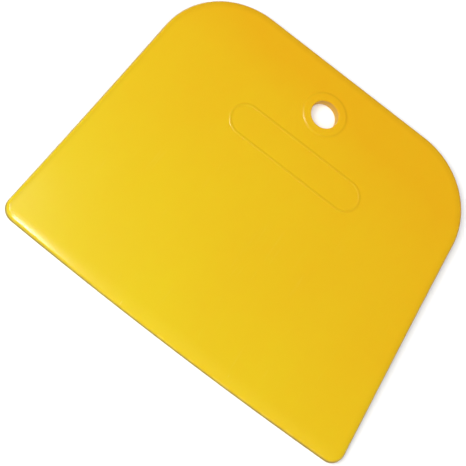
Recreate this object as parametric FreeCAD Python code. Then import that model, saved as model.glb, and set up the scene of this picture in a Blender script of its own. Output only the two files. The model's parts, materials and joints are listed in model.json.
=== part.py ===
import FreeCAD, Part
import math
import os

# Hand squeegee: one moulded plastic plate that thins towards a slightly bowed working edge.
# A hanging hole with a raised collar and a long oval bead sit on its front face.
#
# Frame, in millimetres: the flat back face lies on z = 0 and +Z points out of the front face.
# +X runs along the working edge and +Y from the working edge to the back edge.
# The origin is under the middle of the bounding box.

# Outline
EDGE_WIDTH = 100.0             # between the sharp corners of the working edge
BACK_WIDTH = 83.8              # between the sharp corners of the back edge
EDGE_TO_BACK = 83.8            # from the working edge's chord to the back edge
EDGE_BOW = 1.1                 # how far the working edge bows out from its chord
SIDE_HOLLOW = 0.25             # how far each side curves in from its chord
FRONT_CORNER_RADIUS = 3.5
BACK_CORNER_RADIUS = 20.3

# Thickness
BACK_THICKNESS = 2.6
TAPER_START_THICKNESS = 2.35   # where the front face starts to curve down
TAPER_LENGTH = 30.0            # from there to the working edge's chord
EDGE_THICKNESS = 1.5           # what the taper alone would leave at the working edge's chord
ROLL_LENGTH = 3.5              # the last stretch before the chord, where the face rolls down more
ROLL_DROP = 0.25               # how much lower than the taper the roll ends at the chord

# Rounded rims
FRONT_RIM_RADIUS = 0.7
BACK_RIM_RADIUS = 0.25

# Hanging hole and its collar
HOLE_FROM_EDGE = 71.8          # from the working edge's chord
HOLE_RADIUS = 3.5
HOLE_LIP_RADIUS = 0.25
COLLAR_FOOT_RADIUS = 6.0
COLLAR_TOP_RADIUS = 5.1
COLLAR_HEIGHT = 0.12

# Oval bead
BEAD_FROM_EDGE = 57.6          # from the working edge's chord to the oval's middle
BEAD_LENGTH = 37.5             # between the bead's crests at the two round ends
BEAD_SPAN = 8.2                # between the bead's crests across the oval
BEAD_WIDTH = 1.1               # between its feet
BEAD_HEIGHT = 0.06

# Marks that the mould leaves in the back face
PIN_MARK_RADIUS = 2.5
PIN_MARK_DEPTH = 0.08
EDGE_PINS_APART = 64.0
EDGE_PINS_FROM_EDGE = 16.0
BACK_PINS_APART = 48.0
BACK_PINS_FROM_EDGE = 62.0
GATE_FROM_EDGE = 40.0
GATE_WELL_RADIUS = 2.0
GATE_WELL_DEPTH = 0.3
GATE_STUB_RADIUS = 0.6
GATE_STUB_HEIGHT = 0.2

# Derived values
CHORD_Y = (EDGE_BOW - EDGE_TO_BACK) / 2
BACK_Y = CHORD_Y + EDGE_TO_BACK
TAPER_Y = CHORD_Y + TAPER_LENGTH
ROLL_Y = CHORD_Y + ROLL_LENGTH
HOLE_Y = CHORD_Y + HOLE_FROM_EDGE
BEAD_Y = CHORD_Y + BEAD_FROM_EDGE
FACE_SLOPE = (BACK_THICKNESS - TAPER_START_THICKNESS) / (BACK_Y - TAPER_Y)

MARGIN = 10.0                  # how far construction solids run past the plate
SINK_DEPTH = 0.05              # how far raised shapes are sunk into the plate before they join it
TOLERANCE = 0.01


def point(x, y, z=0.0):
    return FreeCAD.Vector(x, y, z)


def line(start, end):
    return Part.LineSegment(start, end).toShape()


def arc(start, middle, end):
    return Part.Arc(start, middle, end).toShape()


def bowed_side(start, end, bow):
    """An arc whose middle stands off its chord, to the right of the way from start to end."""
    chord = end - start
    right = point(chord.y, -chord.x) / chord.Length
    return arc(start, (start + end) / 2 + right * bow, end)


def upright_edges(solid, y):
    """The solid's edges that stand along Z at the given distance along Y."""
    found = []
    for edge in solid.Edges:
        box = edge.BoundBox
        if box.ZLength > TOLERANCE > box.XLength and abs(box.Center.y - y) < TOLERANCE:
            found.append(edge)
    return found


def edges_at_height(solid, z):
    """The solid's edges that lie level at the given height."""
    found = []
    for edge in solid.Edges:
        box = edge.BoundBox
        if max(abs(box.ZMin - z), abs(box.ZMax - z)) < TOLERANCE:
            found.append(edge)
    return found


def outline_prism():
    """The plate's outline with its rounded corners, raised past the plate's thickness."""
    front_left = point(-EDGE_WIDTH / 2, CHORD_Y)
    front_right = point(EDGE_WIDTH / 2, CHORD_Y)
    back_right = point(BACK_WIDTH / 2, BACK_Y)
    back_left = point(-BACK_WIDTH / 2, BACK_Y)
    outline = Part.Wire([
        bowed_side(front_left, front_right, EDGE_BOW),
        bowed_side(front_right, back_right, -SIDE_HOLLOW),
        line(back_right, back_left),
        bowed_side(back_left, front_left, -SIDE_HOLLOW),
    ])
    prism = Part.Face(outline).extrude(point(0, 0, MARGIN))
    prism = prism.makeFillet(FRONT_CORNER_RADIUS, upright_edges(prism, CHORD_Y))
    return prism.makeFillet(BACK_CORNER_RADIUS, upright_edges(prism, BACK_Y))


def face_height(y):
    """Height of the front face: a gentle slope, a curved taper, then a tighter roll to the edge."""
    slope_only = BACK_THICKNESS - FACE_SLOPE * (BACK_Y - y)
    taper_drop = TAPER_START_THICKNESS - FACE_SLOPE * TAPER_LENGTH - EDGE_THICKNESS
    into_taper = max(TAPER_Y - y, 0) / TAPER_LENGTH
    into_roll = max(ROLL_Y - y, 0) / ROLL_LENGTH
    return slope_only - taper_drop * into_taper ** 2 - ROLL_DROP * into_roll ** 2


def section_point(y):
    return point(0, y, face_height(y))


def thickness_block():
    """A block wider than the plate, whose top is the front face."""
    low_y = CHORD_Y - 2 * EDGE_BOW
    high_y = BACK_Y + MARGIN
    taper_start = section_point(TAPER_Y)
    roll_start = section_point(ROLL_Y)
    section = Part.Wire([
        arc(section_point(low_y), section_point((low_y + ROLL_Y) / 2), roll_start),
        arc(roll_start, section_point((ROLL_Y + TAPER_Y) / 2), taper_start),
        line(taper_start, section_point(high_y)),
        line(section_point(high_y), point(0, high_y)),
        line(point(0, high_y), point(0, low_y)),
        line(point(0, low_y), section_point(low_y)),
    ])
    block = Part.Face(section).extrude(point(EDGE_WIDTH + 2 * MARGIN, 0))
    block.translate(point(-EDGE_WIDTH / 2 - MARGIN, 0))
    return block


def front_rim_edges(plate):
    """The edges round the front face, without the lines across it where its taper and its roll start."""
    found = []
    for edge in plate.Edges:
        box = edge.BoundBox
        from_start = min(abs(box.Center.y - start) for start in (TAPER_Y, ROLL_Y))
        across_face = box.YLength < TOLERANCE and from_start < TOLERANCE
        upright = box.ZLength > TOLERANCE > box.XLength
        if box.ZMax > TOLERANCE and not across_face and not upright:
            found.append(edge)
    return found


def plain_plate():
    """The plate with its rounded rims and nothing on its faces."""
    plate = outline_prism().common(thickness_block()).Solids[0]
    plate = plate.makeFillet(FRONT_RIM_RADIUS, front_rim_edges(plate))
    return plate.makeFillet(BACK_RIM_RADIUS, edges_at_height(plate, 0))


def lay_on_face(shape, y):
    """Tilt a shape that was built on z = 0 to lie on the front face, with its origin at y."""
    shape.rotate(point(0, 0), point(1, 0), math.degrees(math.atan(FACE_SLOPE)))
    shape.translate(section_point(y))
    return shape


def bead_section():
    """The bead across its length: a shallow arch whose foot is sunk a little into the plate."""
    half, sink = BEAD_WIDTH / 2, SINK_DEPTH
    foot = point(0, -half, -sink), point(0, half, -sink)
    side = point(0, -half), point(0, half)
    wire = Part.Wire([
        line(foot[0], side[0]),
        arc(side[0], point(0, 0, BEAD_HEIGHT), side[1]),
        line(side[1], foot[1]),
        line(foot[1], foot[0]),
    ])
    return Part.Face(wire)


def oval_bead():
    """The thin arched ridge that follows an oval on the front face: two straights and two round ends."""
    radius = BEAD_SPAN / 2
    reach = BEAD_LENGTH / 2 - radius
    pieces = []
    for side in (-1, 1):
        across = bead_section()
        across.translate(point(side * reach, -radius))
        pieces.append(across.revolve(point(side * reach, 0), point(0, 0, side), 180))
        straight = bead_section()
        straight.translate(point(-reach, side * radius))
        pieces.append(straight.extrude(point(2 * reach, 0)))
    return lay_on_face(pieces[0].fuse(pieces[1:]), BEAD_Y)


def collar():
    """The low raised disc with a sloping side that the hanging hole turns into a ring."""
    slope = (COLLAR_FOOT_RADIUS - COLLAR_TOP_RADIUS) / COLLAR_HEIGHT
    sunk_radius = COLLAR_FOOT_RADIUS + slope * SINK_DEPTH
    disc = Part.makeCone(sunk_radius, COLLAR_TOP_RADIUS, COLLAR_HEIGHT + SINK_DEPTH, point(0, 0, -SINK_DEPTH))
    return lay_on_face(disc, HOLE_Y)


def hanging_hole():
    return Part.makeCylinder(HOLE_RADIUS, 2 * MARGIN, point(0, HOLE_Y, -MARGIN))


def lip_edges(plate):
    """The two round edges where the hole meets the collar and the back face."""
    found = []
    for edge in plate.Edges:
        box = edge.BoundBox
        centred = abs(box.Center.x) < TOLERANCE and abs(box.Center.y - HOLE_Y) < TOLERANCE
        if centred and abs(box.XLength - 2 * HOLE_RADIUS) < TOLERANCE:
            found.append(edge)
    return found


def ejector_pin_marks():
    """Shallow round recesses in the back face: a wide pair near the working edge, a closer pair behind."""
    marks = []
    rows = ((EDGE_PINS_APART, EDGE_PINS_FROM_EDGE), (BACK_PINS_APART, BACK_PINS_FROM_EDGE))
    for apart, from_edge in rows:
        for x in (-apart / 2, apart / 2):
            foot = point(x, CHORD_Y + from_edge)
            marks.append(Part.makeCylinder(PIN_MARK_RADIUS, PIN_MARK_DEPTH, foot))
    return marks


def gate_well():
    """The round well in the back face with the stub of the moulding gate standing in it."""
    foot = point(0, CHORD_Y + GATE_FROM_EDGE)
    stub_end = foot + point(0, 0, GATE_WELL_DEPTH - GATE_STUB_HEIGHT)
    well = Part.makeCylinder(GATE_WELL_RADIUS, GATE_WELL_DEPTH, foot)
    return well.cut(Part.makeCylinder(GATE_STUB_RADIUS, GATE_STUB_HEIGHT, stub_end))


def squeegee_plate():
    plate = plain_plate().fuse([oval_bead(), collar()])
    plate = plate.cut([hanging_hole(), gate_well()] + ejector_pin_marks())
    plate = plate.makeFillet(HOLE_LIP_RADIUS, lip_edges(plate))
    return plate.Solids[0]


os.makedirs("parts", exist_ok=True)
plate = squeegee_plate()
plate.exportStep("parts/squeegee_plate.step")
print("valid:", plate.isValid(), " volume in cubic millimetres:", round(plate.Volume, 1))
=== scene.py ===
import json
import math

import bpy
import numpy as np
from mathutils import Matrix, Vector
from mathutils.geometry import delaunay_2d_cdt


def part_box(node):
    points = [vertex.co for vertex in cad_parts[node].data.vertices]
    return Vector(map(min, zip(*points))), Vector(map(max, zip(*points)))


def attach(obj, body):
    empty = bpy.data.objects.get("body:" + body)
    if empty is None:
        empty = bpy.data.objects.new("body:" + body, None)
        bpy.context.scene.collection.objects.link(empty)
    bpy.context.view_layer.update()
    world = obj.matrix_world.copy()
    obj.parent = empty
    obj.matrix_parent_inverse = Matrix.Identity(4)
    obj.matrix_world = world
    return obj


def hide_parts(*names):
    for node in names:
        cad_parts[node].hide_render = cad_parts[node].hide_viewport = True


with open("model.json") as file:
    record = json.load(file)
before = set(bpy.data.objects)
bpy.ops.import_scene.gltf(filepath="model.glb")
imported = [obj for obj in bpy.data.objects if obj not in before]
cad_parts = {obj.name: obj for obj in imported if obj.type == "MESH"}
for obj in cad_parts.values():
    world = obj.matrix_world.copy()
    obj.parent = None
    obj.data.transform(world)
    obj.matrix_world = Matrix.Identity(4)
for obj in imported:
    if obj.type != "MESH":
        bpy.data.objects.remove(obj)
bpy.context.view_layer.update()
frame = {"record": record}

# A one-piece plastic squeegee, lying on its flat back face. The CAD plate stays in the frame for
# collision, and the piece made here stands for it: the same plate with a finer surface and its
# moulding and wear marks. Lengths of the plate and the camera are in millimetres until they enter a
# mesh or the scene. Lengths in materials, lights and the floor are in metres.

CAD_LOW, CAD_HIGH = (1000 * np.array(corner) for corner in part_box("squeegee_plate"))
HOLE = next(mount for mount in frame["record"]["mounts"] if mount["name"] == "hanging_hole")

# Outline
EDGE_WIDTH = 100.0
BACK_WIDTH = 83.8
EDGE_BOW = 1.1
SIDE_HOLLOW = 0.25
FRONT_CORNER_RADIUS = 3.5
BACK_CORNER_RADIUS = 20.3
CHORD_Y = CAD_LOW[1] + EDGE_BOW
BACK_Y = CAD_HIGH[1]

# Thickness
BACK_THICKNESS = 2.6
TAPER_START_THICKNESS = 2.35
TAPER_LENGTH = 30.0
EDGE_THICKNESS = 1.5
ROLL_LENGTH = 3.5
ROLL_DROP = 0.25
TAPER_Y = CHORD_Y + TAPER_LENGTH
ROLL_Y = CHORD_Y + ROLL_LENGTH
FACE_SLOPE = (BACK_THICKNESS - TAPER_START_THICKNESS) / (BACK_Y - TAPER_Y)
CURVE_DROP = TAPER_START_THICKNESS - FACE_SLOPE * TAPER_LENGTH - EDGE_THICKNESS
FRONT_RIM_RADIUS = 0.7
BACK_RIM_RADIUS = 0.25

# Hanging hole, collar and bead
HOLE_Y = 1000 * HOLE["pos_m"][1]
HOLE_RADIUS = HOLE["dims"]["r_mm"]
HOLE_LIP_RADIUS = 0.25
COLLAR_FOOT_RADIUS = 6.0
COLLAR_TOP_RADIUS = 5.1
COLLAR_HEIGHT = 0.12
BEAD_Y = CHORD_Y + 57.6
BEAD_LENGTH = 37.5
BEAD_SPAN = 8.2
BEAD_WIDTH = 1.1
BEAD_HEIGHT = 0.06

# Marks of the mould in the back face
PIN_MARKS = [(x, CHORD_Y + y) for x, y in ((-32, 16), (32, 16), (-24, 62), (24, 62))]
PIN_MARK_RADIUS = 2.5
PIN_MARK_DEPTH = 0.08
GATE_Y = CHORD_Y + 40
GATE_WELL_RADIUS = 2.0
GATE_WELL_DEPTH = 0.3
GATE_STUB_RADIUS = 0.6
GATE_STUB_HEIGHT = 0.2
STUB_CHAMFER = 0.05
MARK_BEVEL = 0.05              # how far a mark's outer and inner rings lie from its wall
MARK_WALL_LIP = 0.02           # how far in height the ends of a mark's wall lie from both levels
MARK_WALL_DRAFT = 0.5          # how much the wall leans in for each millimetre of depth

# Fineness of the mesh
FRONT_GRID = 1.5               # between neighbouring points on the front face
BACK_GRID = 3.0
PIN_MARK_GRID = 1.2
GATE_WELL_GRID = 0.8
GATE_STUB_GRID = 0.4
FRONT_RIM_RINGS = 13
BACK_RIM_RINGS = 6
BEAD_RINGS = 17
COLLAR_RINGS = 11
LIP_RINGS = 7
HOLE_STEPS = 120               # points round a ring of the hole or its collar
MARK_STEPS = 48
STUB_STEPS = 24

# Plastic
# From PALE_YELLOW to GOLDEN_YELLOW runs a painted light fall-off: paler towards the lit left corner, more
# golden away from it.
PALE_YELLOW = (0.71, 0.54, 0.008, 1)     # at the working edge's left corner
GOLDEN_YELLOW = (0.71, 0.387, 0.002, 1)  # at the far right corner
# Painted shade: this colour is multiplied into the yellow where the surface turns upright, on rims, and
# on the bead and collar.
PAINTED_SHADE_COLOUR = (0.40, 0.37, 0.26, 1)            # deepens the yellow on walls and rims and on raised shapes
SCUFFED_YELLOW = (0.76, 0.62, 0.10, 1)
RUBBED_YELLOW = (0.78, 0.62, 0.10, 1)
TINT_WAY = (0.44, 0.90, 0.0)             # the way in which the yellow turns golden
TINT_START = -0.060                      # along that way, in metres
TINT_END = 0.050
# Amounts of painted shade for each kind of place.
WALL_PAINTED_SHADE = 0.92                        # the share of shade where the surface is upright
# Painted shade added on the rim, the bead and the collar.
RIM_PAINTED_SHADE = 0.20                        # more shade on the rim, most of it at the back edge
BEAD_PAINTED_SHADE = 0.13
COLLAR_PAINTED_SHADE = 0.10
# Painted light: the hole's wall gives back most of its painted shade, so it looks lit through.
HOLE_WALL_PAINTED_SHADE = -0.8                  # takes most of the wall's shade away, so the hole stays golden
BASE_ROUGHNESS = 0.18

# World
BACKDROP = 0.9
LOW_WORLD_LIGHT = 0.4
HIGH_WORLD_LIGHT = 0.2

# Floor
FLOOR_HALF_WIDTH = 8.0
FLOOR_GAP = 0.00002              # keeps the floor clear of the plate's back face
FLOOR_COLOUR = (0.96, 0.96, 0.96, 1)
FLOOR_ROUGHNESS = 0.9

# Camera: a long lens that looks down on the plate from beyond its working edge
CAMERA_AIM = (-1.76, -8.51)      # on the floor
CAMERA_AZIMUTH = -13.1           # 0 looks along +Y
CAMERA_ELEVATION = 62.5
CAMERA_ROLL = 49.25
CAMERA_DISTANCE = 1183.0
LENS = 386.3
SENSOR = 36.0


# ---------------------------------------------------------------- shape

def face_height(y):
    """Height of the front face: a gentle slope, a curved taper, then a tighter roll to the edge."""
    into_taper = np.maximum(TAPER_Y - y, 0.0) / TAPER_LENGTH
    into_roll = np.maximum(ROLL_Y - y, 0.0) / ROLL_LENGTH
    slope_only = BACK_THICKNESS - FACE_SLOPE * (BACK_Y - y)
    return slope_only - CURVE_DROP * into_taper ** 2 - ROLL_DROP * into_roll ** 2


def face_slope(y):
    """Rise of the front face per millimetre along +Y."""
    into_taper = np.maximum(TAPER_Y - y, 0.0) / TAPER_LENGTH
    into_roll = np.maximum(ROLL_Y - y, 0.0) / ROLL_LENGTH
    taper_slope = 2 * CURVE_DROP * into_taper / TAPER_LENGTH
    roll_slope = 2 * ROLL_DROP * into_roll / ROLL_LENGTH
    return FACE_SLOPE + taper_slope + roll_slope


def front_height(points):
    return face_height(points[:, 1])


def front_normal(points):
    """Upward normals of the front face, not yet of length one."""
    return np.c_[np.zeros(len(points)), -face_slope(points[:, 1]), np.ones(len(points))]


def level(height):
    """The height function of a flat face."""
    return lambda points: np.full(len(points), height)


def unit(vectors):
    return vectors / np.linalg.norm(vectors, axis=-1, keepdims=True)


def bowed_side(start, end, bow, steps):
    """Points from start to end along a shallow curve that bows to the right of the way."""
    start, end = np.array(start), np.array(end)
    along = np.linspace(0, 1, steps)[:, None]
    way = end - start
    right = unit(np.array([way[1], -way[0]]))
    return start + way * along + right * 4 * bow * along * (1 - along)


def trimmed(side, cut_start, cut_end):
    """The side without a length at each of its ends."""
    length = np.r_[0, np.cumsum(np.linalg.norm(np.diff(side, axis=0), axis=1))]
    kept = np.linspace(cut_start, length[-1] - cut_end, len(side))
    return np.stack([np.interp(kept, length, side[:, axis]) for axis in (0, 1)], axis=1)


def corner_arc(start, corner, end, steps):
    """The circular arc that leaves start and reaches end heading along the corner's two sides."""
    half_turn = np.dot(unit(corner - start), unit(end - corner))
    weight = math.sqrt((1 + half_turn) / 2)
    t = np.linspace(0, 1, steps + 2)[1:-1, None]
    blend = (1 - t) ** 2, 2 * t * (1 - t) * weight, t ** 2
    return (blend[0] * start + blend[1] * corner + blend[2] * end) / sum(blend)


def plate_outline():
    """The outline, counterclockwise from the working edge's left end, and its outward normals."""
    front_left, front_right = (-EDGE_WIDTH / 2, CHORD_Y), (EDGE_WIDTH / 2, CHORD_Y)
    back_left, back_right = (-BACK_WIDTH / 2, BACK_Y), (BACK_WIDTH / 2, BACK_Y)
    sides = [
        bowed_side(front_left, front_right, EDGE_BOW, 96),
        bowed_side(front_right, back_right, -SIDE_HOLLOW, 64),
        bowed_side(back_right, back_left, 0, 48),
        bowed_side(back_left, front_left, -SIDE_HOLLOW, 64),
    ]
    radii = [FRONT_CORNER_RADIUS, BACK_CORNER_RADIUS, BACK_CORNER_RADIUS, FRONT_CORNER_RADIUS]
    steps = [18, 48, 48, 18]
    cuts = []
    for side, following, radius in zip(sides, sides[1:] + sides[:1], radii):
        turn = math.acos(np.dot(unit(side[-1] - side[-2]), unit(following[1] - following[0])))
        cuts.append(radius * math.tan(turn / 2))
    kept = [trimmed(side, cuts[i - 1], cuts[i]) for i, side in enumerate(sides)]
    runs = []
    for i, side in enumerate(kept):
        following = kept[(i + 1) % 4]
        runs += [side, corner_arc(side[-1], sides[i][-1], following[0], steps[i])]
    points = np.vstack(runs)
    way = unit(np.roll(points, -1, axis=0) - np.roll(points, 1, axis=0))
    return points, np.stack([way[:, 1], -way[:, 0]], axis=1)


def circle(centre, radius, steps):
    """A counterclockwise circle and its outward normals."""
    turn = np.arange(steps) * 2 * math.pi / steps
    outward = np.stack([np.cos(turn), np.sin(turn)], axis=1)
    return np.array(centre) + radius * outward, outward


def oval(centre, length, span, straight_steps, turn_steps):
    """A counterclockwise oval with straight sides and round ends, and its outward normals."""
    radius = span / 2
    reach = length / 2 - radius
    turn = np.linspace(-math.pi / 2, math.pi / 2, turn_steps)
    right_end = np.stack([np.cos(turn), np.sin(turn)], axis=1)
    along = np.linspace(reach, -reach, straight_steps)[1:-1]
    back = np.stack([along, np.full(len(along), radius)], axis=1)
    half = np.vstack([right_end * radius + (reach, 0), back])
    outward = np.vstack([right_end, np.tile((0.0, 1.0), (len(along), 1))])
    return np.array(centre) + np.vstack([half, -half]), np.vstack([outward, -outward])


# ---------------------------------------------------------------- mesh

class Skin:
    """The plate's surface while it is made: points with a normal, wear and an amount of painted shade,
    and faces.
    """

    def __init__(self):
        self.points, self.normals, self.wear, self.depth, self.faces = [], [], [], [], []

    def add(self, points, normals, wear=0.0, deeper=0.0):
        first = len(self.points)
        self.points += list(points)
        self.normals += list(unit(np.asarray(normals, float)))
        self.wear += [wear] * len(points)
        self.depth += list(np.broadcast_to(deeper, len(points)))
        return np.arange(first, len(self.points))

    def bridge(self, outer, inner):
        """A closed band of quads, facing up where outer lies round inner."""
        for a, b, c, d in zip(outer, np.roll(outer, -1), np.roll(inner, -1), inner):
            self.faces.append((a, b, c, d))

    def bands(self, rings):
        for outer, inner in zip(rings, rings[1:]):
            self.bridge(outer, inner)

    def fill(self, outer, holes, spacing, height, normal, up=True):
        """Triangles between a ring and the rings inside it, on a grid of new points."""
        rings = [outer, *holes]
        borders = [np.array([self.points[i][:2] for i in ring]) for ring in rings]
        grid = grid_points(borders, spacing)
        new = self.add(np.c_[grid, height(grid)], normal(grid))
        index = np.concatenate([*rings, new])
        flat = np.vstack([*borders, grid])
        edges, start = [], 0
        for ring in rings:
            edges += [(start + i, start + (i + 1) % len(ring)) for i in range(len(ring))]
            start += len(ring)
        found = delaunay_2d_cdt([Vector(p) for p in flat], edges, [], 0, 1e-6)
        places, triangles, origins = found[0], found[2], found[3]
        for triangle in triangles:
            middle = np.mean([places[i] for i in triangle], axis=0)[None]
            in_hole = any(inside(middle, border)[0] for border in borders[1:])
            if in_hole or not inside(middle, borders[0])[0]:
                continue
            corners = [index[origins[i][0]] for i in triangle]
            self.faces.append(tuple(corners if up else reversed(corners)))


def inside(points, border):
    """Which points lie inside a closed line, by how often a ray to the right crosses it."""
    a, b = border, np.roll(border, -1, axis=0)
    x, y = points[:, :1], points[:, 1:]
    straddles = (a[:, 1] > y) != (b[:, 1] > y)
    rise = np.where(b[:, 1] == a[:, 1], 1e-12, b[:, 1] - a[:, 1])
    crossing = a[:, 0] + (y - a[:, 1]) * (b[:, 0] - a[:, 0]) / rise
    return (straddles & (x < crossing)).sum(axis=1) % 2 == 1


def grid_points(borders, spacing):
    """Staggered grid points inside the first border, outside the others and not too near any of them."""
    low, high = borders[0].min(axis=0), borders[0].max(axis=0)
    rows = np.arange(low[1], high[1], spacing * math.sqrt(3) / 2)
    points = []
    for i, y in enumerate(rows):
        xs = np.arange(low[0] + (i % 2) * spacing / 2, high[0], spacing)
        points.append(np.stack([xs, np.full(len(xs), y)], axis=1))
    points = np.vstack(points)
    keep = inside(points, borders[0])
    for border in borders[1:]:
        keep &= ~inside(points, border)
    for border in borders:
        nearest = np.min(np.linalg.norm(points[:, None] - border[None], axis=2), axis=1)
        keep &= nearest > spacing * 0.55
    return points[keep]


def rim_rings(skin):
    """The rounded edge all round the plate, from its foot on the back face to the front face."""
    outline, outward = plate_outline()
    y = outline[:, 1]
    thickness = face_height(y)
    lean = -face_slope(y) * outward[:, 1]      # rise of the face per millimetre inwards
    rings = []
    # Painted shade on the rim: none at the working edge, most at the back edge, starting on the two rings
    # inside the rim.
    deeper = RIM_PAINTED_SHADE * (1 + outward[:, 1]) / 2
    for inset, share in ((1.4, 0.0), (0.6, 0.4)):
        offset = -FRONT_RIM_RADIUS - inset
        rings.append(on_face(skin, outline, outward, offset, 0, 0, deeper=share * deeper))
    centre_z = thickness + FRONT_RIM_RADIUS * (lean - np.sqrt(1 + lean ** 2))
    for share in np.linspace(1, 0, FRONT_RIM_RINGS):
        turn = share * np.arctan2(1, lean)
        out, rise = np.cos(turn), np.sin(turn)
        points = outline + outward * (FRONT_RIM_RADIUS * (out - 1))[:, None]
        z = centre_z + FRONT_RIM_RADIUS * rise
        normals = np.c_[outward * out[:, None], rise]
        rings.append(skin.add(np.c_[points, z], normals, wear=float(share < 0.8), deeper=deeper))
    for turn in np.linspace(0, -math.pi / 2, BACK_RIM_RINGS):
        points = outline + outward * BACK_RIM_RADIUS * (math.cos(turn) - 1)
        z = np.full(len(points), BACK_RIM_RADIUS * (1 + math.sin(turn)))
        normals = np.c_[outward * math.cos(turn), np.full(len(points), math.sin(turn))]
        rings.append(skin.add(np.c_[points, z], normals, wear=1.0))
    return rings


def on_face(skin, line, outward, offset, rise, tilt, wear=0.0, deeper=0.0):
    """A ring at a height above the front face. Tilt is how far its normal leans outward, in radians."""
    points = line + outward * offset
    z = face_height(points[:, 1]) + rise
    up = unit(front_normal(points))
    normals = up * math.cos(tilt) + np.c_[outward, np.zeros(len(points))] * math.sin(tilt)
    return skin.add(np.c_[points, z], normals, wear, deeper)


def swell(skin, line, outward, reach, height, shares, deeper):
    """Rings over a smooth rise: share 1 is its outer foot, 0 its top and -1 its inner foot.

    Painted shade is a function of the phase, which runs from pi at the outer foot through 0 at the top.
    """
    rings = []
    for share in shares:
        phase = math.pi * share
        rise = height * (1 + math.cos(phase)) / 2
        tilt = math.atan(height * math.pi / (2 * reach) * math.sin(phase))
        rings.append(on_face(skin, line, outward, share * reach, rise, tilt, deeper=deeper(phase)))
    return rings


def bead_painted_shade(phase):
    """Painted shade on the bead, most of it along the crest."""
    return BEAD_PAINTED_SHADE * (1 + math.cos(phase)) / 2


def collar_painted_shade(phase):
    """Painted shade halfway up the collar's slope."""
    return COLLAR_PAINTED_SHADE * math.sin(phase) ** 2


def bead_rings(skin):
    """The thin ridge that follows the oval, from its outside to its inside."""
    line, outward = oval((0, BEAD_Y), BEAD_LENGTH, BEAD_SPAN, 40, 28)
    shares = np.linspace(1, -1, BEAD_RINGS)
    return swell(skin, line, outward, BEAD_WIDTH / 2, BEAD_HEIGHT, shares, bead_painted_shade)


def collar_rings(skin):
    """The low ring round the hanging hole, from its foot on the front face to its flat top."""
    line, outward = circle((0, HOLE_Y), COLLAR_TOP_RADIUS, HOLE_STEPS)
    width = COLLAR_FOOT_RADIUS - COLLAR_TOP_RADIUS
    shares = np.linspace(1, 0, COLLAR_RINGS)
    return swell(skin, line, outward, width, COLLAR_HEIGHT, shares, collar_painted_shade)


def hole_rings(skin):
    """The lip, the wall and the back lip of the hanging hole."""
    line, outward = circle((0, HOLE_Y), HOLE_RADIUS, HOLE_STEPS)
    lip = HOLE_LIP_RADIUS
    rings = []
    for turn in np.linspace(0, math.pi / 2, LIP_RINGS):
        offset = lip * (1 - math.sin(turn))
        rise = COLLAR_HEIGHT - lip * (1 - math.cos(turn))
        # The hole's lip and wall take back painted shade, so the hole looks lit through.
        rings.append(on_face(skin, line, outward, offset, rise, -turn, deeper=-turn / 2))
    for turn in np.linspace(0, math.pi / 2, LIP_RINGS):
        points = line + outward * lip * (1 - math.cos(turn))
        z = np.full(len(points), lip * (1 - math.sin(turn)))
        normals = np.c_[-outward * math.cos(turn), np.full(len(points), -math.sin(turn))]
        rings.append(skin.add(np.c_[points, z], normals, deeper=HOLE_WALL_PAINTED_SHADE))
    return rings


def down(points):
    return np.tile((0.0, 0.0, -1.0), (len(points), 1))


def recess(skin, centre, radius, depth):
    """The wall of a shallow round recess in the back face: its outer ring and its inner ring."""
    _, outward = circle(centre, radius, MARK_STEPS)
    sloped = np.c_[-outward, np.full(MARK_STEPS, -0.6)]
    foot_radius = radius - MARK_WALL_DRAFT * depth
    rings = []
    for ring_radius, z, normals in (
        (radius + MARK_BEVEL, 0.0, down(outward)),
        (radius, MARK_WALL_LIP, sloped),
        (foot_radius, depth - MARK_WALL_LIP, sloped),
        (foot_radius - MARK_BEVEL, depth, down(outward)),
    ):
        points = np.array(centre) + ring_radius * outward
        rings.append(skin.add(np.c_[points, np.full(MARK_STEPS, z)], normals))
    for outer, inner in zip(rings, rings[1:]):
        skin.bridge(outer[::-1], inner[::-1])
    return rings[0], rings[-1]


def pin_mark(skin, centre):
    edge, foot = recess(skin, centre, PIN_MARK_RADIUS, PIN_MARK_DEPTH)
    skin.fill(foot, [], PIN_MARK_GRID, level(PIN_MARK_DEPTH), down, up=False)
    return edge


def gate_well(skin):
    """The round well in the back face with the stub of the moulding gate standing in it."""
    edge, foot = recess(skin, (0, GATE_Y), GATE_WELL_RADIUS, GATE_WELL_DEPTH)
    line, outward = circle((0, GATE_Y), GATE_STUB_RADIUS, STUB_STEPS)
    end_z = GATE_WELL_DEPTH - GATE_STUB_HEIGHT
    foot_z = np.full(STUB_STEPS, GATE_WELL_DEPTH)
    side_z = np.full(STUB_STEPS, end_z + STUB_CHAMFER)
    side_normals = np.c_[outward, np.full(STUB_STEPS, -0.4)]
    stub_foot = skin.add(np.c_[line, foot_z], down(line))
    stub_side = skin.add(np.c_[line, side_z], side_normals)
    end_line = line - STUB_CHAMFER * outward
    stub_end = skin.add(np.c_[end_line, np.full(STUB_STEPS, end_z)], down(line))
    skin.bridge(stub_foot[::-1], stub_side[::-1])
    skin.bridge(stub_side[::-1], stub_end[::-1])
    skin.fill(foot, [stub_foot], GATE_WELL_GRID, level(GATE_WELL_DEPTH), down, up=False)
    skin.fill(stub_end, [], GATE_STUB_GRID, level(end_z), down, up=False)
    return edge


def plate_skin():
    skin = Skin()
    rim = rim_rings(skin)
    bead = bead_rings(skin)
    collar = collar_rings(skin)
    hole = hole_rings(skin)
    skin.bands(rim[::-1])
    skin.bands(bead)
    skin.bands(collar + hole)
    skin.fill(rim[0], [bead[0], collar[0]], FRONT_GRID, front_height, front_normal)
    skin.fill(bead[-1], [], FRONT_GRID, front_height, front_normal)
    marks = [pin_mark(skin, centre) for centre in PIN_MARKS] + [gate_well(skin)]
    skin.fill(rim[-1], [hole[-1], *marks], BACK_GRID, level(0.0), down, up=False)
    return skin


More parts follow.
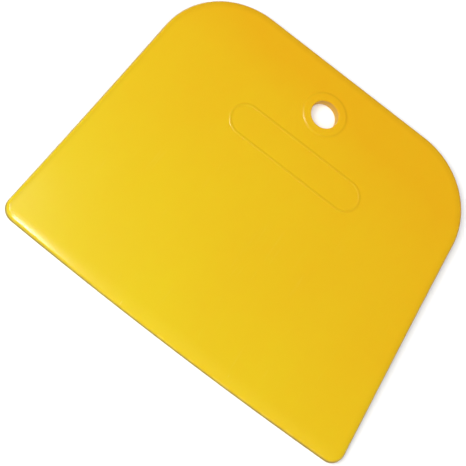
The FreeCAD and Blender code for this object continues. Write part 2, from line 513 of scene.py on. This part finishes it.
def make_plate():
    skin = plate_skin()
    mesh = bpy.data.meshes.new("squeegee")
    mesh.from_pydata([Vector(p) * 0.001 for p in skin.points], [], skin.faces)
    mesh.update()
    mesh.shade_smooth()
    mesh.normals_split_custom_set_from_vertices([Vector(n) for n in skin.normals])
    # worn holds real wear; the other attribute holds the amount of painted shade.
    for name, values in (("worn", skin.wear), ("painted_shade_amount", skin.depth)):
        attribute = mesh.attributes.new(name, "FLOAT", "POINT")
        attribute.data.foreach_set("value", values)
    piece = bpy.data.objects.new("squeegee", mesh)
    bpy.context.collection.objects.link(piece)
    return piece


# ---------------------------------------------------------------- material

class Nodes:
    """Shorthand for building the node tree of a material or a world."""

    def __init__(self, owner):
        owner.use_nodes = True
        self.tree = owner.node_tree
        self.shader = self.tree.nodes.get("Principled BSDF")

    def add(self, kind, inputs=(), **settings):
        node = self.tree.nodes.new(kind)
        for name, value in settings.items():
            setattr(node, name, value)
        for key, value in dict(inputs).items():
            self.feed(node.inputs[key], value)
        return node

    def feed(self, socket, value):
        if isinstance(value, bpy.types.NodeSocket):
            self.tree.links.new(value, socket)
        else:
            socket.default_value = value

    def maths(self, operation, *values):
        node = self.add("ShaderNodeMath", dict(enumerate(values)), operation=operation)
        return node.outputs[0]

    def ramp(self, factor, *stops):
        """A smooth ramp of values or colours from (position, value) stops."""
        node = self.add("ShaderNodeValToRGB", {"Fac": factor})
        node.color_ramp.interpolation = "EASE"
        elements = node.color_ramp.elements
        while len(elements) < len(stops):
            elements.new(0.5)
        for element, (position, value) in zip(elements, stops):
            element.position = position
            element.color = (*value, 1) if isinstance(value, tuple) else (value, value, value, 1)
        return node.outputs["Color"]

    def noise(self, place, scale, detail=2.0, stretch=(1, 1, 1), roughness=0.5):
        mapping = self.add("ShaderNodeMapping", {"Vector": place, "Scale": stretch})
        inputs = {"Vector": mapping.outputs[0], "Scale": scale, "Detail": detail, "Roughness": roughness}
        return self.add("ShaderNodeTexNoise", inputs).outputs["Fac"]

    def blend(self, factor, first, second, how="MIX"):
        node = self.add("ShaderNodeMix", {0: factor}, data_type="RGBA", blend_type=how)
        self.feed(node.inputs[6], first)
        self.feed(node.inputs[7], second)
        return node.outputs[2]


def golden_tint(n, place, y):
    """0 for pale and 1 for golden: a painted light fall-off over the plate, paler towards the lit left
    corner of the working edge and more golden by the back edge, and real clouds and flow lines.
    """
    along = n.add("ShaderNodeVectorMath", {0: place, 1: TINT_WAY}, operation="DOT_PRODUCT")
    drift = {"Value": along.outputs["Value"], "From Min": TINT_START, "From Max": TINT_END}
    tint = n.add("ShaderNodeMapRange", drift).outputs[0]
    # Painted shade: more golden in a band by the back edge, away from the lights.
    by_back = {"Value": y, "From Min": 0.026, "From Max": 0.0425, "To Max": 0.35}
    tint = n.maths("ADD", tint, n.add("ShaderNodeMapRange", by_back).outputs[0])
    cloud = n.noise(place, 32.0, detail=3.0)
    flow = n.noise(place, 90.0, detail=4.0, stretch=(1.0, 0.16, 1.0))
    for pattern, share in ((cloud, 0.30), (flow, 0.16)):
        tint = n.maths("ADD", tint, n.maths("MULTIPLY", n.maths("SUBTRACT", pattern, 0.5), share))
    return tint


def wear_masks(n, place, y):
    """Short fine scuffs, rubbed patches along the rims, and how near the working edge a place is."""
    edge_to_back = n.add("ShaderNodeMapRange", {"Value": y, "From Min": -0.042, "From Max": 0.043})
    near_edge = n.ramp(edge_to_back.outputs[0], (0.0, 1.0), (0.35, 0.35), (0.9, 0.12))
    line = n.noise(place, 1500.0, detail=1.0, stretch=(1.0, 0.05, 1.0))
    line = n.ramp(line, (0.62, 0.0), (0.74, 1.0))
    patch = n.ramp(n.noise(place, 160.0, detail=3.0), (0.50, 0.0), (0.66, 1.0))
    scuffs = n.maths("MULTIPLY", line, n.maths("MULTIPLY", patch, near_edge))
    worn = n.add("ShaderNodeAttribute", attribute_name="worn").outputs["Fac"]
    spots = n.ramp(n.noise(place, 420.0, detail=4.0), (0.42, 0.10), (0.62, 1.0))
    return scuffs, n.maths("MULTIPLY", worn, spots), near_edge


def upright_painted_shade(n):
    """How far the surface turns from the faces towards upright, which sets the painted shade on walls and
    rims.
    """
    facing = n.add("ShaderNodeNewGeometry").outputs["Normal"]
    upward = n.maths("ABSOLUTE", n.add("ShaderNodeSeparateXYZ", {0: facing}).outputs["Z"])
    return n.ramp(upward, (0.0, 1.0), (WALL_PAINTED_SHADE, 0.0))


def yellow_plastic():
    """Semi-gloss yellow polypropylene with cloudy colour, flow lines, scuffs and rubbed rims, painted
    shade on walls, rims and raised shapes, and a painted light fall-off across the plate.
    """
    material = bpy.data.materials.new("yellow_plastic")
    n = Nodes(material)
    place = n.add("ShaderNodeTexCoord").outputs["Object"]
    y = n.add("ShaderNodeSeparateXYZ", {0: place}).outputs["Y"]
    painted_shade_amount = n.add("ShaderNodeAttribute", attribute_name="painted_shade_amount").outputs["Fac"]
    sideways = upright_painted_shade(n)
    scuffs, rubbed, near_edge = wear_masks(n, place, y)

    # Colour
    body = n.blend(golden_tint(n, place, y), PALE_YELLOW, GOLDEN_YELLOW)
    # Painted shade: the shade colour is multiplied in on upright surfaces, rims, the bead and the collar.
    shaded = n.maths("MAXIMUM", n.maths("ADD", sideways, painted_shade_amount), 0.0)
    body = n.blend(shaded, body, PAINTED_SHADE_COLOUR, how="MULTIPLY")
    body = n.blend(n.maths("MULTIPLY", scuffs, 0.14), body, SCUFFED_YELLOW)
    rubbed_share = n.maths("MULTIPLY", n.maths("MULTIPLY", rubbed, near_edge), 0.16)
    body = n.blend(rubbed_share, body, RUBBED_YELLOW)
    n.feed(n.shader.inputs["Base Color"], body)

    # Roughness
    grain = n.noise(place, 2600.0, detail=2.0)
    unevenness = n.maths("MULTIPLY", n.noise(place, 55.0, detail=3.0), 0.06)
    rough = n.maths("ADD", BASE_ROUGHNESS - 0.03, unevenness)
    for amount, share in ((grain, 0.03), (scuffs, 0.10), (rubbed, 0.12), (sideways, 0.30)):
        rough = n.maths("ADD", rough, n.maths("MULTIPLY", amount, share))
    n.feed(n.shader.inputs["Roughness"], rough)

    # Light that enters the plastic
    n.feed(n.shader.inputs["Subsurface Weight"], 0.35)
    n.feed(n.shader.inputs["Subsurface Radius"], (1.0, 0.6, 0.1))
    n.feed(n.shader.inputs["Subsurface Scale"], 0.0008)

    # Relief: long waves and grain that stand up, scuffs and rubbed patches that are sunk
    height = n.maths("MULTIPLY", n.noise(place, 45.0, detail=1.0, stretch=(1.0, 0.5, 1.0)), 0.000030)
    for amount, depth in ((grain, -0.0000010), (scuffs, 0.0000020), (rubbed, 0.0000040)):
        height = n.maths("SUBTRACT", height, n.maths("MULTIPLY", amount, depth))
    bump = n.add("ShaderNodeBump", {"Height": height, "Distance": 1.0, "Strength": 1.0})
    n.feed(n.shader.inputs["Normal"], bump.outputs[0])
    return material


# ---------------------------------------------------------------- scene

def make_camera():
    azimuth, elevation = math.radians(CAMERA_AZIMUTH), math.radians(CAMERA_ELEVATION)
    level = math.cos(elevation)
    back = Vector((math.sin(azimuth) * level, -math.cos(azimuth) * level, math.sin(elevation)))
    data = bpy.data.cameras.new("camera")
    data.lens = LENS
    data.sensor_width = SENSOR
    camera = bpy.data.objects.new("camera", data)
    bpy.context.collection.objects.link(camera)
    turned = back.to_track_quat("Z", "Y").to_matrix() @ Matrix.Rotation(math.radians(CAMERA_ROLL), 3, "Z")
    place = (Vector((*CAMERA_AIM, 0)) + back * CAMERA_DISTANCE) * 0.001
    camera.matrix_world = Matrix.Translation(place) @ turned.to_4x4()
    bpy.context.scene.camera = camera


def make_floor():
    mesh = bpy.data.meshes.new("floor")
    half = FLOOR_HALF_WIDTH
    corners = [(-half, -half, 0), (half, -half, 0), (half, half, 0), (-half, half, 0)]
    mesh.from_pydata(corners, [], [(0, 1, 2, 3)])
    floor = bpy.data.objects.new("floor", mesh)
    floor.location.z = -FLOOR_GAP
    bpy.context.collection.objects.link(floor)
    material = bpy.data.materials.new("floor")
    n = Nodes(material)
    n.feed(n.shader.inputs["Base Color"], FLOOR_COLOUR)
    n.feed(n.shader.inputs["Roughness"], FLOOR_ROUGHNESS)
    mesh.materials.append(material)


def add_light(name, kind, place, aim, energy, size, glossy=True, diffuse=True):
    """A light at a place, facing its aim.

    Its size is a pair of widths, or a sun's spread in degrees. With glossy off it isn't reflected,
    and with diffuse off it is only reflected.
    """
    data = bpy.data.lights.new(name, kind)
    data.energy = energy
    if kind == "SUN":
        data.angle = math.radians(size)
    else:
        data.shape = "RECTANGLE"
        data.size, data.size_y = size
    light = bpy.data.objects.new(name, data)
    light.location = place
    light.rotation_euler = (Vector(place) - Vector(aim)).to_track_quat("Z", "Y").to_euler()
    light.visible_glossy = glossy
    light.visible_diffuse = diffuse
    bpy.context.collection.objects.link(light)


def make_world():
    """Near white behind everything the camera sees, and a soft light that is dimmer higher up."""
    world = bpy.data.worlds.new("studio")
    bpy.context.scene.world = world
    n = Nodes(world)
    direction = n.add("ShaderNodeTexCoord").outputs["Generated"]
    rise = n.add("ShaderNodeSeparateXYZ", {0: direction}).outputs["Z"]
    light = n.add("ShaderNodeMapRange", {"Value": rise, "From Min": 0.12, "From Max": 0.36})
    light.interpolation_type = "SMOOTHSTEP"
    n.feed(light.inputs["To Min"], LOW_WORLD_LIGHT)
    n.feed(light.inputs["To Max"], HIGH_WORLD_LIGHT)
    seen = n.add("ShaderNodeLightPath").outputs["Is Camera Ray"]
    strength = n.add("ShaderNodeMix", {0: seen, 2: light.outputs[0], 3: BACKDROP})
    background = n.tree.nodes["Background"]
    n.feed(background.inputs["Strength"], strength.outputs[0])
    n.feed(background.inputs["Color"], (1, 1, 1, 1))


def make_lights():
    """Two broad lights that aren't reflected, and two small ones that give only reflections."""
    add_light("top", "SUN", (-0.15, -0.35, 1.0), (0, 0, 0), 2.68, 70, glossy=False)
    add_light("side", "AREA", (-0.35, -0.15, 0.35), (0, 0, 0), 1.05, (0.3, 0.3), glossy=False)
    glow_place, glow_aim = (-0.070, 0.080, 0.34), (-0.045, -0.038, 0)
    add_light("glow", "AREA", glow_place, glow_aim, 0.12, (0.04, 0.04), diffuse=False)
    edge_place, edge_aim = (-0.037, -0.050, 0.13), (-0.037, -0.042, 0)
    add_light("edge", "AREA", edge_place, edge_aim, 0.065, (0.008, 0.05), diffuse=False)


make_camera()
make_world()
make_lights()
make_floor()
squeegee = make_plate()
squeegee.data.materials.append(yellow_plastic())
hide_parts("squeegee_plate")
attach(squeegee, "root")
bpy.context.scene.view_settings.view_transform = "Standard"
